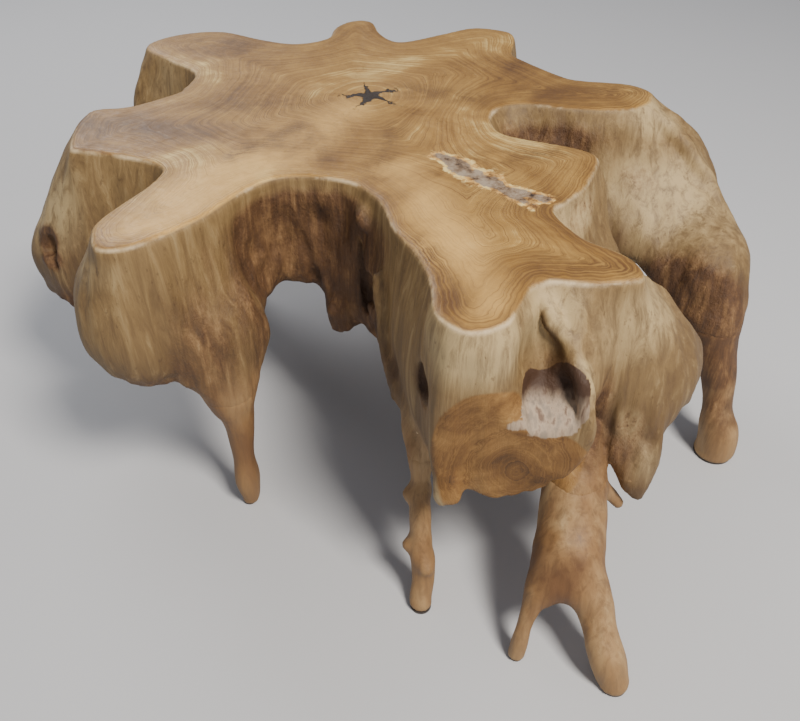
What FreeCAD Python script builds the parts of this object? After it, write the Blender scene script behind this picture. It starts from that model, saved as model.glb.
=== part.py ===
"""A low table cut from one teak root, on six branch legs that are dowelled and screwed to it.

Millimetres, +Z up.  The origin is on the floor, under the middle of the table's bounding box.
+X is to the right and +Y to the back for someone who stands in front of the table.
"""
import FreeCAD, Part
import Sketcher
import math
import os

V = FreeCAD.Vector
UP = V(0, 0, 1)
PARTS_FOLDER = "parts"

# ---------------------------------------------------------------- driving dimensions

SIZES = {
    "table_height": 450,      # floor to the flat top
    "crown_depth": 250,       # flat top to the plane where the legs meet the crown
    "shoulder_drop": 14,      # height of the rounding under the rim
    "shoulder_reach": 6,      # how far that rounding stands out from the rim
    "belly_drop": 150,        # flat top to the widest level of the walls
    "pith_left": -32,         # X of the growth centre, where all bearings start
    "pith_back": 150,         # Y of the growth centre
    "crack_depth": 20,
    "crack_length": 30,
    "crack_width": 5,
    "crack_turn": 20,         # bearing of the first arm of the star
    "facet_front": -338,      # Y of the sawn facet on the front lobe, at the joint plane
    "facet_lean": 4,          # degrees the facet leans forward towards its top
    "facet_left": 0,          # X where the saw entered
    "facet_right": 260,
    "facet_height": 205,      # how far up from the joint plane the saw cut
    "pocket_left": 153,
    "pocket_front": -318,
    "pocket_drop": 108,
    "pocket_radius": 38,
    "dowel_radius": 6,
    "dowel_in_leg": 40,
    "dowel_in_crown": 40,
    "dowel_gap": 0.15,        # all round the dowel
    "dowel_end_gap": 1,       # above the dowel, for glue
    "screw_offset": 21,       # from the dowel's axis to the screw's axis
    "screw_radius": 3.8,
    "screw_in_crown": 45,
    "screw_gap": 0.2,         # all round the shank
    "screw_end_gap": 2,
    "screw_tip_length": 9,
    "screw_head_height": 5.3,
    "screw_head_across": 13,
    "washer_radius": 8,
    "washer_thickness": 1.6,
    "ledge_drop": 16,         # joint plane to the ledge that the washer bears on
    "ledge_radius": 9.5,
    "ledge_reach": 60,        # how far the notch runs down from the ledge, for the driver
    "glide_thickness": 3,
    "glide_margin": 2,        # how far the glide stays inside the foot's edge
    "nail_radius": 1.25,
    "nail_length": 20,
    "nail_gap": 0.1,
    "nail_end_gap": 0.5,
    "nail_head_radius": 2.8,
    "nail_head_height": 1,
    "nail_recess_radius": 3.2,
    "nail_recess_depth": 1.8,
}

# The root's outline, anticlockwise from the right.  Bearings are degrees from +X at the pith.
# A lobe: rim bearing, rim reach, rim half width, belly bearing, belly reach, belly half width,
# base bearing, base reach, base half width.
LOBE_FIELDS = ("rim_bearing", "rim_reach", "rim_half_width",
               "belly_bearing", "belly_reach", "belly_half_width",
               "base_bearing", "base_reach", "base_half_width")
# A valley between two lobes: rim bearing, rim reach, base bearing, base reach.
VALLEY_FIELDS = ("rim_bearing", "rim_reach", "base_bearing", "base_reach")
OUTLINE = [
    ("right_lobe", (3, 388, 46, -9, 500, 74, -19, 524, 56)),
    ("right_shoulder_valley", (34, 228, 28, 290)),
    ("back_right_lobe", (58, 304, 62, 58, 312, 62, 58, 270, 58)),
    ("back_notch_valley", (81, 168, 80, 185)),
    ("small_back_lobe", (96, 300, 40, 96, 306, 44, 96, 262, 38)),
    ("back_valley", (122, 188, 122, 205)),
    ("back_left_lobe", (149, 390, 66, 150, 412, 66, 151, 385, 66)),
    ("left_valley", (168, 212, 168, 260)),
    ("left_lobe", (193, 388, 74, 196, 466, 68, 200, 450, 50)),
    ("left_front_valley", (222, 262, 219, 325)),
    ("left_front_lobe", (233, 454, 38, 222, 452, 62, 236, 412, 76)),
    ("arch_left_valley", (244, 272, 256, 262)),
    ("arch_right_valley", (270, 195, 268, 225)),
    ("front_lobe", (282, 512, 50, 285, 522, 72, 283, 505, 66)),
    ("pocket_valley", (293, 425, 296, 540)),
    ("right_front_lobe", (305, 484, 32, 316, 510, 66, 304, 550, 42)),
    ("inner_valley", (305, 325, 316, 410)),
    ("chevron_lobe", (327, 336, 28, 326, 400, 40, 322, 400, 40)),
    ("bay_valley", (338, 105, 334, 180)),
]

# A leg: where it meets the crown (X, Y, radius), its knee (height, X, Y, radius), its foot
# (X, Y, radius) and the bearing from the dowel towards the screw, on the side nobody sees.
LEG_FIELDS = ("top_x", "top_y", "top_radius", "knee_height", "knee_x", "knee_y", "knee_radius",
              "foot_x", "foot_y", "foot_radius", "screw_bearing")
LEGS = {
    "left_leg": (-207, -152, 36, 100, -206, -166, 22, -203, -172, 10, 60),
    "middle_leg": (32, -262, 36, 95, 26, -298, 17, 34, -337, 15, 100),
    "right_leg": (445, -30, 33, 70, 466, -66, 24, 474, -80, 29, 170),
    "rear_left_leg": (-296, 296, 46, 100, -298, 304, 30, -300, 310, 26, 310),
    "rear_right_leg": (110, 290, 48, 100, 128, 300, 30, 134, 304, 26, 230),
}
# The forked leg: a trunk down to the crotch, two toes, and the sawn stub of a side branch.
FORK = {
    "forked_leg_top_x": 204,
    "forked_leg_top_y": -290,
    "forked_leg_top_radius": 44,
    "forked_leg_screw_bearing": 110,
    "crotch_height": 105,
    "crotch_x": 190,
    "crotch_y": -372,
    "crotch_radius": 36,
    "toe_spread": 18,         # sideways from the crotch's middle to each toe's root
    "toe_root_radius": 20,
    "left_toe_foot_x": 146,
    "left_toe_foot_y": -404,
    "left_toe_foot_radius": 10,
    "right_toe_foot_x": 255,
    "right_toe_foot_y": -440,
    "right_toe_foot_radius": 17,
    "stub_root_drop": 22,
    "stub_end_drop": 60,
    "stub_root_x": 216,
    "stub_end_x": 262,
    "stub_y": -300,
    "stub_radius": 9,
}
TOES = {"left_toe": -1, "right_toe": 1}
ALL_LEGS = list(LEGS) + ["forked_leg"]
FEET = list(LEGS) + list(TOES)


def all_sizes():
    """Every named size, the tables above spelled out as one alias for each value."""
    sizes = dict(SIZES)
    for name, values in OUTLINE:
        fields = LOBE_FIELDS if name.endswith("lobe") else VALLEY_FIELDS
        for field, value in zip(fields, values):
            sizes[name + "_" + field] = value
    for name, values in LEGS.items():
        for field, value in zip(LEG_FIELDS, values):
            sizes[name + "_" + field] = value
    sizes.update(FORK)
    return sizes


def fill_sheet(document, sizes):
    """Put each size in column B of the sheet, with its name as the alias and beside it."""
    sheet = document.addObject("Spreadsheet::Sheet", "Sizes")
    for row, (alias, value) in enumerate(sizes.items(), start=1):
        sheet.set("A%d" % row, alias)
        sheet.set("B%d" % row, str(value))
        sheet.setAlias("B%d" % row, alias)
    document.recompute()
    return sheet


doc = FreeCAD.newDocument("teak_root_table")
sheet = fill_sheet(doc, all_sizes())
SUBPARTS = []


def size(alias):
    """The value that the sheet holds under this alias."""
    return float(sheet.get(alias))


def formula(text):
    """A formula of aliases, written as an expression on the sheet: {name} marks an alias."""
    return text.replace("{", "Sizes.").replace("}", "")


def bind(thing, **formulas):
    """Bind properties of a document object to formulas; a double underscore stands for a dot."""
    for name, text in formulas.items():
        thing.setExpression(name.replace("__", "."), formula(text))


def keep(thing, label):
    """Give a finished sub-part the label that names its file."""
    thing.Label = label
    SUBPARTS.append(thing)


# The joint plane, where the legs' tops meet the crown's underside, and the feet's level.
JOINT = "({table_height} - {crown_depth})"
SOLE = "{glide_thickness}"


def joint_height():
    """The joint plane's height, for the shapes that Part's functions make."""
    return size("table_height") - size("crown_depth")


# ---------------------------------------------------------------- primitives on the sheet

def cylinder(name, radius, height, x, y, z):
    """An upright Part::Cylinder, all of it bound to formulas."""
    thing = doc.addObject("Part::Cylinder", name)
    bind(thing, Radius=radius, Height=height)
    bind(thing, Placement__Base__x=x, Placement__Base__y=y, Placement__Base__z=z)
    return thing


def fuse(name, shapes):
    """A Part::MultiFuse of two or more shapes."""
    result = doc.addObject("Part::MultiFuse", name)
    result.Shapes = shapes
    return result


def cut(name, base, tool):
    """A Part::Cut of one base by one tool."""
    result = doc.addObject("Part::Cut", name)
    result.Base = base
    result.Tool = tool
    return result


# ---------------------------------------------------------------- the crown

def polar(bearing, reach, side=0.0):
    """A point at a bearing and reach from the pith, moved sideways, anticlockwise positive."""
    angle = math.radians(bearing)
    x = size("pith_left") + reach * math.cos(angle) - side * math.sin(angle)
    y = size("pith_back") + reach * math.sin(angle) + side * math.cos(angle)
    return x, y


def contour(level, height, extra_reach=0.0):
    """The closed curve of one level of the wall: three control points a lobe, one a valley."""
    poles = []
    for name, _ in OUTLINE:
        if name.endswith("lobe"):
            bearing = size("%s_%s_bearing" % (name, level))
            reach = size("%s_%s_reach" % (name, level)) + extra_reach
            half_width = size("%s_%s_half_width" % (name, level)) + extra_reach
            for side in (-half_width, 0.0, half_width):
                poles.append(V(*polar(bearing, reach, side), height))
        else:
            valley_level = "base" if level == "base" else "rim"
            bearing = size("%s_%s_bearing" % (name, valley_level))
            reach = size("%s_%s_reach" % (name, valley_level)) + extra_reach
            poles.append(V(*polar(bearing, reach), height))
    curve = Part.BSplineCurve()
    curve.buildFromPoles(poles, True, 3)
    return Part.Wire([curve.toShape()])


def crown_blank():
    """The root block: a loft down through the rim, its rounded shoulder, the belly and the base."""
    top = size("table_height")
    wires = [
        contour("rim", top),
        contour("rim", top - size("shoulder_drop"), size("shoulder_reach")),
        contour("belly", top - size("belly_drop")),
        contour("base", joint_height()),
    ]
    blank = doc.addObject("Part::Feature", "crown_blank")
    blank.Shape = Part.makeLoft(wires, True, False)
    return blank


def crack_tools():
    """The star-shaped crack at the pith: five narrow slots that share one end."""
    arms = 5
    slots = []
    for arm in range(arms):
        bearing = "({crack_turn} + %g)" % (arm * 360 / arms)
        slot = doc.addObject("Part::Box", "crack_slot_%d" % (arm + 1))
        bind(slot, Length="{crack_length}", Width="{crack_width}", Height="{crack_depth}",
             Placement__Base__x="{pith_left} + {crack_width} / 2 * sin(%s)" % bearing,
             Placement__Base__y="{pith_back} - {crack_width} / 2 * cos(%s)" % bearing,
             Placement__Base__z="{table_height} - {crack_depth}",
             Placement__Rotation__Angle=bearing)
        slots.append(slot)
    return slots


def facet_tool():
    """The block of air in front of the sawn facet, turned to lie to the left and front of its corner."""
    air = doc.addObject("Part::Box", "facet_air")
    lean = FreeCAD.Rotation(V(1, 0, 0), size("facet_lean"))
    air.Placement = FreeCAD.Placement(V(), lean * FreeCAD.Rotation(UP, 180))
    bind(air, Length="{facet_right} - {facet_left}", Width="{table_height}", Height="{facet_height}",
         Placement__Base__x="{facet_right}", Placement__Base__y="{facet_front}",
         Placement__Base__z=JOINT)
    return air


def pocket_tool():
    """The rot pocket between the front lobe and the right-front lobe."""
    pocket = doc.addObject("Part::Sphere", "rot_pocket")
    bind(pocket, Radius="{pocket_radius}", Placement__Base__x="{pocket_left}",
         Placement__Base__y="{pocket_front}", Placement__Base__z="{table_height} - {pocket_drop}")
    return pocket


def screw_x(leg):
    """Formula for the X of a leg's screw axis."""
    return "{%s_top_x} + {screw_offset} * cos({%s_screw_bearing})" % (leg, leg)


def screw_y(leg):
    """Formula for the Y of a leg's screw axis."""
    return "{%s_top_y} + {screw_offset} * sin({%s_screw_bearing})" % (leg, leg)


def crown_bores(leg):
    """The blind dowel bore and the screw's pilot bore that one leg needs in the crown."""
    dowel_bore = cylinder(leg + "_crown_dowel_bore", "{dowel_radius} + {dowel_gap}",
                          "{dowel_in_crown} + {dowel_end_gap}",
                          "{%s_top_x}" % leg, "{%s_top_y}" % leg, JOINT)
    pilot_bore = cylinder(leg + "_crown_pilot_bore", "{screw_radius} + {screw_gap}",
                          "{screw_in_crown} + {screw_end_gap}", screw_x(leg), screw_y(leg), JOINT)
    return [dowel_bore, pilot_bore]


def make_crown():
    """The root crown: the lofted block less its facet, pocket, crack and the legs' bores."""
    tools = crack_tools() + [facet_tool(), pocket_tool()]
    for leg in ALL_LEGS:
        tools += crown_bores(leg)
    keep(cut("crown", crown_blank(), fuse("crown_cuts", tools)), "root_crown")


# ---------------------------------------------------------------- the legs

def plane_of(body, role):
    """One of a body's own origin planes, found by its role."""
    return [item for item in body.Origin.OriginFeatures if item.Role == role][0]


def circle_sketch(body, name, radius, x, y, z):
    """A sketch of one circle in a level plane of the body, all of it bound to formulas."""
    sketch = body.newObject("Sketcher::SketchObject", name)
    sketch.AttachmentSupport = (plane_of(body, "XY_Plane"), "")
    sketch.MapMode = "FlatFace"
    sketch.addGeometry(Part.Circle(V(), UP, 10), False)
    sketch.addConstraint(Sketcher.Constraint("Coincident", 0, 3, -1, 1))
    row = sketch.addConstraint(Sketcher.Constraint("Radius", 0, 10))
    sketch.setExpression("Constraints[%d]" % row, formula(radius))
    bind(sketch, AttachmentOffset__Base__x=x, AttachmentOffset__Base__y=y, AttachmentOffset__Base__z=z)
    return sketch


def loft(body, name, sketches):
    """An additive loft through sketches, from the first to the last."""
    feature = body.newObject("PartDesign::AdditiveLoft", name)
    feature.Profile = sketches[0]
    feature.Sections = sketches[1:]


def bore(body, name, sketch, depth, upward=False):
    """A pocket from a circle into the leg, down unless upward is set."""
    feature = body.newObject("PartDesign::Pocket", name)
    feature.Profile = sketch
    feature.Reversed = upward
    bind(feature, Length=depth)


def cut_top_bores(body, leg):
    """The dowel bore, the screw's clearance hole and the notch whose ledge the washer bears on."""
    dowel_circle = circle_sketch(body, leg + "_dowel_circle", "{dowel_radius} + {dowel_gap}",
                                 "{%s_top_x}" % leg, "{%s_top_y}" % leg, JOINT)
    bore(body, leg + "_dowel_bore", dowel_circle, "{dowel_in_leg}")
    screw_circle = circle_sketch(body, leg + "_screw_circle", "{screw_radius} + {screw_gap}",
                                 screw_x(leg), screw_y(leg), JOINT)
    bore(body, leg + "_screw_hole", screw_circle, "{ledge_drop}")
    notch_circle = circle_sketch(body, leg + "_notch_circle", "{ledge_radius}",
                                 screw_x(leg), screw_y(leg), JOINT + " - {ledge_drop}")
    bore(body, leg + "_screw_notch", notch_circle, "{ledge_reach}")


def cut_nail_bore(body, foot):
    """The bore in a foot's sole for the nail of its glide."""
    circle = circle_sketch(body, foot + "_nail_circle", "{nail_radius} + {nail_gap}",
                           "{%s_foot_x}" % foot, "{%s_foot_y}" % foot, SOLE)
    depth = "{nail_recess_depth} + {nail_length} + {nail_end_gap} - " + SOLE
    bore(body, foot + "_nail_bore", circle, depth, upward=True)


def make_leg(leg):
    """A single branch: one loft from the joint plane over the knee to the foot."""
    body = doc.addObject("PartDesign::Body", leg)
    top = circle_sketch(body, leg + "_top", "{%s_top_radius}" % leg,
                        "{%s_top_x}" % leg, "{%s_top_y}" % leg, JOINT)
    knee = circle_sketch(body, leg + "_knee", "{%s_knee_radius}" % leg,
                         "{%s_knee_x}" % leg, "{%s_knee_y}" % leg, "{%s_knee_height}" % leg)
    foot = circle_sketch(body, leg + "_foot", "{%s_foot_radius}" % leg,
                         "{%s_foot_x}" % leg, "{%s_foot_y}" % leg, SOLE)
    loft(body, leg + "_branch", [top, knee, foot])
    cut_top_bores(body, leg)
    cut_nail_bore(body, leg)
    keep(body, leg)


def make_forked_leg():
    """The forked branch: a trunk, a toe each way from the crotch, and the stub on its right."""
    body = doc.addObject("PartDesign::Body", "forked_leg")
    top = circle_sketch(body, "trunk_top", "{forked_leg_top_radius}",
                        "{forked_leg_top_x}", "{forked_leg_top_y}", JOINT)
    crotch = circle_sketch(body, "trunk_crotch", "{crotch_radius}",
                           "{crotch_x}", "{crotch_y}", "{crotch_height}")
    loft(body, "trunk", [top, crotch])
    for toe, side in TOES.items():
        root = circle_sketch(body, toe + "_root", "{toe_root_radius}",
                             "{crotch_x} + %d * {toe_spread}" % side, "{crotch_y}", "{crotch_height}")
        foot = circle_sketch(body, toe + "_foot", "{%s_foot_radius}" % toe,
                             "{%s_foot_x}" % toe, "{%s_foot_y}" % toe, SOLE)
        loft(body, toe, [root, foot])
    stub_root = circle_sketch(body, "stub_root", "{stub_radius}", "{stub_root_x}", "{stub_y}",
                              JOINT + " - {stub_root_drop}")
    stub_end = circle_sketch(body, "stub_end", "{stub_radius}", "{stub_end_x}", "{stub_y}",
                             JOINT + " - {stub_end_drop}")
    loft(body, "stub", [stub_root, stub_end])
    cut_top_bores(body, "forked_leg")
    for toe in TOES:
        cut_nail_bore(body, toe)
    keep(body, "forked_leg")


# ---------------------------------------------------------------- joint hardware

def make_dowel(leg):
    """The loose dowel: it stands on the floor of the leg's bore, with a glue gap above and around."""
    dowel = cylinder(leg + "_dowel_rod", "{dowel_radius}", "{dowel_in_leg} + {dowel_in_crown}",
                     "{%s_top_x}" % leg, "{%s_top_y}" % leg, JOINT + " - {dowel_in_leg}")
    keep(dowel, leg + "_dowel")


def make_coach_screw(leg):
    """The coach screw: a hexagon head under the washer, a shank and a cone for its point."""
    x = screw_x(leg)
    y = screw_y(leg)
    head_top = JOINT + " - {ledge_drop} - {washer_thickness}"
    head = doc.addObject("Part::Prism", leg + "_screw_head")
    head.Polygon = 6
    bind(head, Circumradius="{screw_head_across} / sqrt(3)", Height="{screw_head_height}",
         Placement__Base__x=x, Placement__Base__y=y, Placement__Base__z=head_top + " - {screw_head_height}")
    shank_length = "({washer_thickness} + {ledge_drop} + {screw_in_crown} - {screw_tip_length})"
    shank = cylinder(leg + "_screw_shank", "{screw_radius}", shank_length, x, y, head_top)
    point = doc.addObject("Part::Cone", leg + "_screw_point")
    bind(point, Radius1="{screw_radius}", Radius2="{screw_radius} / 4", Height="{screw_tip_length}",
         Placement__Base__x=x, Placement__Base__y=y, Placement__Base__z=head_top + " + " + shank_length)
    keep(fuse(leg + "_whole_screw", [head, shank, point]), leg + "_coach_screw")


def make_washer(leg):
    """The washer between the screw's head and the ledge of the leg's notch."""
    x = screw_x(leg)
    y = screw_y(leg)
    z = JOINT + " - {ledge_drop} - {washer_thickness}"
    disc = cylinder(leg + "_washer_disc", "{washer_radius}", "{washer_thickness}", x, y, z)
    hole = cylinder(leg + "_washer_hole", "{screw_radius} + {screw_gap}", "{washer_thickness}", x, y, z)
    keep(cut(leg + "_cut_washer", disc, hole), leg + "_washer")


def make_glide(foot):
    """The plastic glide under a foot: a disc with a nail hole and a recess for the nail's head."""
    x = "{%s_foot_x}" % foot
    y = "{%s_foot_y}" % foot
    disc = cylinder(foot + "_glide_disc", "{%s_foot_radius} - {glide_margin}" % foot,
                    "{glide_thickness}", x, y, "0")
    hole = cylinder(foot + "_glide_hole", "{nail_radius} + {nail_gap}", "{glide_thickness}", x, y, "0")
    recess = cylinder(foot + "_glide_recess", "{nail_recess_radius}", "{nail_recess_depth}", x, y, "0")
    openings = fuse(foot + "_glide_openings", [hole, recess])
    keep(cut(foot + "_cut_glide", disc, openings), foot + "_glide")


def make_nail(foot):
    """The nail that holds a glide: its head hangs in the recess and its shank stands in the foot."""
    x = "{%s_foot_x}" % foot
    y = "{%s_foot_y}" % foot
    head = cylinder(foot + "_nail_head", "{nail_head_radius}", "{nail_head_height}", x, y,
                    "{nail_recess_depth} - {nail_head_height}")
    shank = cylinder(foot + "_nail_shank", "{nail_radius}", "{nail_length}", x, y, "{nail_recess_depth}")
    keep(fuse(foot + "_whole_nail", [head, shank]), foot + "_glide_nail")


# ---------------------------------------------------------------- build, check and write

def check_document():
    """Stop if any object of the document failed to compute, or any sub-part's shape is unsound."""
    for thing in doc.Objects:
        if "Invalid" in thing.State or "Error" in thing.State:
            raise RuntimeError("%s failed: %s" % (thing.Name, thing.State))
    for thing in SUBPARTS:
        if thing.Shape.isNull() or not thing.Shape.isValid():
            raise RuntimeError("%s has no valid shape" % thing.Label)
        if len(thing.Shape.Solids) != 1:
            raise RuntimeError("%s is %d solids" % (thing.Label, len(thing.Shape.Solids)))


def write_parts():
    """Write each sub-part's shape to a file named after its label."""
    os.makedirs(PARTS_FOLDER, exist_ok=True)
    for thing in SUBPARTS:
        thing.Shape.exportStep(os.path.join(PARTS_FOLDER, thing.Label + ".step"))


make_crown()
for leg_name in LEGS:
    make_leg(leg_name)
make_forked_leg()
for leg_name in ALL_LEGS:
    make_dowel(leg_name)
    make_coach_screw(leg_name)
    make_washer(leg_name)
for foot_name in FEET:
    make_glide(foot_name)
    make_nail(foot_name)
doc.recompute()
check_document()
write_parts()
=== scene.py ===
"""A low table cut from one teak root, on branch legs. Metres, +Z up, the frame's own origin."""
import math

import bpy
import numpy as np
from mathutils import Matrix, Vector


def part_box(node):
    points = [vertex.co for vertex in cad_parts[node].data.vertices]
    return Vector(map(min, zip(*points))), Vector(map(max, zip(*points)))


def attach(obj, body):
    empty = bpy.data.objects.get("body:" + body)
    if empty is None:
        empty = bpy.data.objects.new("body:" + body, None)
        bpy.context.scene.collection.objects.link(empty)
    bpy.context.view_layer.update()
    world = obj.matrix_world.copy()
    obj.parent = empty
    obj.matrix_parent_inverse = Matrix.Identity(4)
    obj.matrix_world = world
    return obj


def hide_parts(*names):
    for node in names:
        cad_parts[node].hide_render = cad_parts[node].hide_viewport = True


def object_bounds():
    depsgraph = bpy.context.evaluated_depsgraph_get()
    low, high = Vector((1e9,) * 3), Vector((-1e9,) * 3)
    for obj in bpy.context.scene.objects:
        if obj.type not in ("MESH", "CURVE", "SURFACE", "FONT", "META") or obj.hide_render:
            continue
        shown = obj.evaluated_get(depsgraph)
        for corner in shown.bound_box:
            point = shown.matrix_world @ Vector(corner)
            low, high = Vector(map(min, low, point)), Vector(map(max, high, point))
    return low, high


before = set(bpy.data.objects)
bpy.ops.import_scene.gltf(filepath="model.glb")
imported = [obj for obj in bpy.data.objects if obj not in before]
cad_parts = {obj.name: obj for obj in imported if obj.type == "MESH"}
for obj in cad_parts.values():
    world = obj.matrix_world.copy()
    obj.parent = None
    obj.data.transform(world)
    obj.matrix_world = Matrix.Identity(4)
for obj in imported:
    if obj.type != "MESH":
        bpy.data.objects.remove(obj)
cad_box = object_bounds()

MM = 0.001
TOP = cad_box[1].z                      # the flat top
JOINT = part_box("left_leg")[1].z         # the plane where the legs meet the crown
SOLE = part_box("left_leg")[0].z          # the feet stand on glides this thick
PITH = np.array([-0.032, 0.150])        # growth centre of the root, where its star crack is
FACET_FRONT = -0.342                    # the saw took the front lobe off at this Y
CELL = 0.0047                           # spacing of the crown's sampling grid
LEG_CELL = 0.0035
SLEEVE = 0.0003                         # a leg stands proud of the crown by this at the joint
RIM_ROUNDING = 0.007
UNDER_ROUNDING = 0.028
EDGE_ROUNDING = 0.004                   # at the sawn facet and at the mouths of the rot holes
POCKET_RISE = 0.85                      # slope of the front pocket's floor, upwards to its back
LEG_LAP = 0.010                         # a leg's wood runs up inside the crown by this
LEG_DRAWN_IN = 0.0045                   # and is drawn in from this height above the joint
LEG_CLEARANCE = 0.0008                  # below the joint, a leg keeps this far from the crown
FILLET_REACH = 0.03                     # no leg's fillet is thicker than this
NOISE_SIDE = 32                         # entries along each side of a noise table
FAR = 9.0                               # a distance larger than any in the table

# ---------------------------------------------------------------- the root's outlines, in mm
# Each runs clockwise from the back-left lobe, seen from above.

RIM = [
    (-370, 322), (-357, 357), (-317, 382), (-264, 387), (-200, 354), (-148, 338), (-103, 360),
    (-94, 404), (-77, 429), (-54, 438), (-34, 427), (-24, 386), (-4, 351), (20, 348), (73, 378),
    (123, 404), (168, 392), (183, 374),
    (181, 342), (173, 300), (186, 275), (233, 217), (258, 202), (318, 190), (343, 169), (343, 152),
    (333, 130), (298, 109), (223, 115), (178, 129), (148, 125), (133, 112), (126, 98), (123, 77),
    (138, 40), (208, 10), (233, -5), (241, -21), (230, -53), (213, -88), (188, -118), (171, -138),
    (193, -188), (228, -218), (241, -241), (238, -261), (198, -268), (148, -262), (134, -268),
    (116, -305), (103, -328), (73, -341), (53, -330), (38, -308), (36, -264), (25, -220), (0, -170),
    (-14, -118), (-42, -81), (-82, -66), (-122, -66), (-145, -78), (-172, -108), (-202, -153),
    (-242, -192), (-270, -210), (-297, -209), (-308, -180), (-308, -158), (-292, -123), (-275, -90),
    (-265, -53), (-274, -35), (-312, -18), (-377, -1), (-387, 7), (-396, 62), (-396, 87),
    (-387, 110), (-344, 120), (-297, 157), (-287, 174), (-280, 229), (-322, 272),
]
SHOULDER = [
    (-402, 290), (-390, 350), (-335, 392), (-262, 392), (-200, 358), (-150, 342), (-98, 420),
    (-62, 447), (-28, 415), (8, 356), (70, 388), (125, 415), (178, 402), (196, 370), (190, 300),
    (212, 262), (262, 238), (340, 232), (408, 204), (442, 163), (436, 116), (395, 92), (304, 82),
    (230, 92), (165, 96), (142, 72), (150, 45), (222, 10), (262, -8), (268, -40), (252, -80),
    (228, -118), (216, -140), (250, -160), (303, -181), (306, -215), (292, -255), (255, -274),
    (220, -280), (196, -306), (188, -326), (172, -318), (152, -294), (134, -308), (105, -338),
    (60, -346), (36, -335), (30, -300), (14, -235), (-8, -165), (-30, -110), (-62, -72), (-100, -60),
    (-140, -70), (-170, -105), (-182, -142), (-235, -198), (-295, -222), (-335, -208), (-355, -160),
    (-352, -112), (-310, -72), (-276, -50), (-330, -38), (-400, -28), (-440, -5), (-451, 27),
    (-450, 75), (-428, 112), (-385, 132), (-330, 148), (-298, 172), (-290, 210), (-300, 245),
    (-350, 262),
]
BELLY = [
    (-398, 285), (-388, 345), (-335, 385), (-262, 388), (-200, 352), (-150, 336), (-98, 414),
    (-62, 440), (-28, 410), (8, 350), (70, 382), (125, 408), (175, 396), (194, 364), (192, 310),
    (225, 272), (300, 246), (400, 208), (452, 148), (472, 78), (462, 30), (430, 8), (370, 30),
    (290, 55), (215, 72), (172, 78), (152, 58), (165, 30), (238, -2), (285, -28), (290, -60),
    (275, -100), (252, -128), (290, -148), (346, -186), (344, -222), (322, -258), (288, -281),
    (250, -282), (222, -276), (205, -290), (192, -330), (165, -348), (120, -356), (65, -352), (38, -338),
    (30, -300), (14, -245), (-4, -180), (-26, -120), (-58, -78), (-98, -58), (-135, -64),
    (-158, -100), (-168, -145), (-232, -203), (-298, -222), (-342, -200), (-358, -150),
    (-358, -104), (-318, -66), (-285, -52), (-325, -50), (-382, -44), (-440, -30), (-474, -2),
    (-484, 38), (-480, 88), (-440, 128), (-380, 148), (-325, 168), (-302, 200), (-308, 240),
    (-355, 262),
]
HAUNCH = [
    (-388, 285), (-378, 338), (-330, 372), (-262, 374), (-200, 340), (-150, 326), (-96, 398),
    (-62, 420), (-30, 396), (8, 338), (70, 368), (122, 390), (168, 378), (186, 346), (186, 300),
    (225, 262), (310, 226), (410, 176), (458, 110), (470, 52), (464, 2), (456, -22), (424, -18),
    (372, 2), (300, 42), (220, 62), (176, 66), (160, 46), (175, 18), (240, -14), (288, -40),
    (290, -70), (280, -108), (268, -136), (295, -160), (338, -190), (322, -225), (306, -256),
    (292, -290), (262, -295), (236, -292), (223, -264), (206, -256), (190, -278), (184, -322),
    (155, -346), (115, -354), (68, -352),
    (44, -338), (38, -300), (24, -250), (12, -195), (-10, -135), (-40, -88), (-80, -52), (-120, -40),
    (-152, -58), (-162, -100), (-172, -145), (-225, -186), (-270, -200), (-292, -194), (-320, -172),
    (-334, -140), (-330, -102), (-318, -66), (-290, -52), (-325, -48), (-385, -40), (-438, -24),
    (-466, 2), (-478, 36), (-470, 88), (-430, 124), (-372, 144), (-322, 164), (-304, 200),
    (-308, 240), (-345, 258),
]
BASE = [
    (-365, 280), (-355, 325), (-315, 352), (-255, 352), (-195, 325), (-150, 312), (-92, 370),
    (-62, 388), (-34, 368), (8, 322), (68, 348), (115, 366), (152, 352), (168, 322), (172, 285),
    (215, 248), (300, 205), (400, 140), (448, 78), (456, 20), (458, -28), (454, -52), (430, -50),
    (400, -28), (372, 4), (300, 30), (230, 45), (190, 48), (175, 30), (190, 5), (240, -25),
    (275, -50), (275, -80), (262, -115), (262, -150), (290, -185), (314, -222), (304, -262),
    (284, -296), (262, -298), (243, -294), (230, -262), (208, -240), (186, -262), (170, -312),
    (140, -340), (100, -345), (66, -342),
    (48, -325), (46, -290), (34, -250), (22, -205), (4, -150), (-26, -98), (-75, -42), (-120, -25),
    (-150, -45), (-168, -95), (-180, -140), (-215, -165), (-262, -178), (-272, -166), (-300, -136),
    (-302, -104), (-300, -70), (-280, -55), (-320, -42), (-380, -28), (-425, -10), (-444, 30),
    (-440, 80), (-405, 112), (-360, 132), (-318, 155), (-300, 195), (-302, 235), (-330, 255),
]
# Height of each outline, from the floor.
LEVELS = [(200, BASE), (240, HAUNCH), (300, BELLY), (360, SHOULDER), (450, RIM)]

# How low the root's underside hangs near a place: X, Y, height, and how far that reaches.
UNDERSIDE = [
    (-320, 320, 215, 80), (-62, 390, 225, 50), (120, 350, 212, 70), (320, 180, 225, 80),
    (450, -5, 218, 50), (395, 5, 224, 28), (276, -298, 158, 20), (300, -220, 228, 42),
    (240, -290, 206, 15), (300, -282, 250, 14), (214, -258, 262, 22),
    (116, -335, 206, 36), (58, -350, 210, 18), (25, -255, 200, 30), (-66, -60, 208, 20), (-40, -80, 224, 22),
    (-125, -48, 286, 40), (-205, -160, 205, 34), (-250, -188, 246, 22), (-298, -180, 226, 26),
    (-450, 0, 218, 40), (-430, 80, 228, 50), (-330, 60, 245, 60),
]
UNDERSIDE_ELSEWHERE = 262

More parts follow.
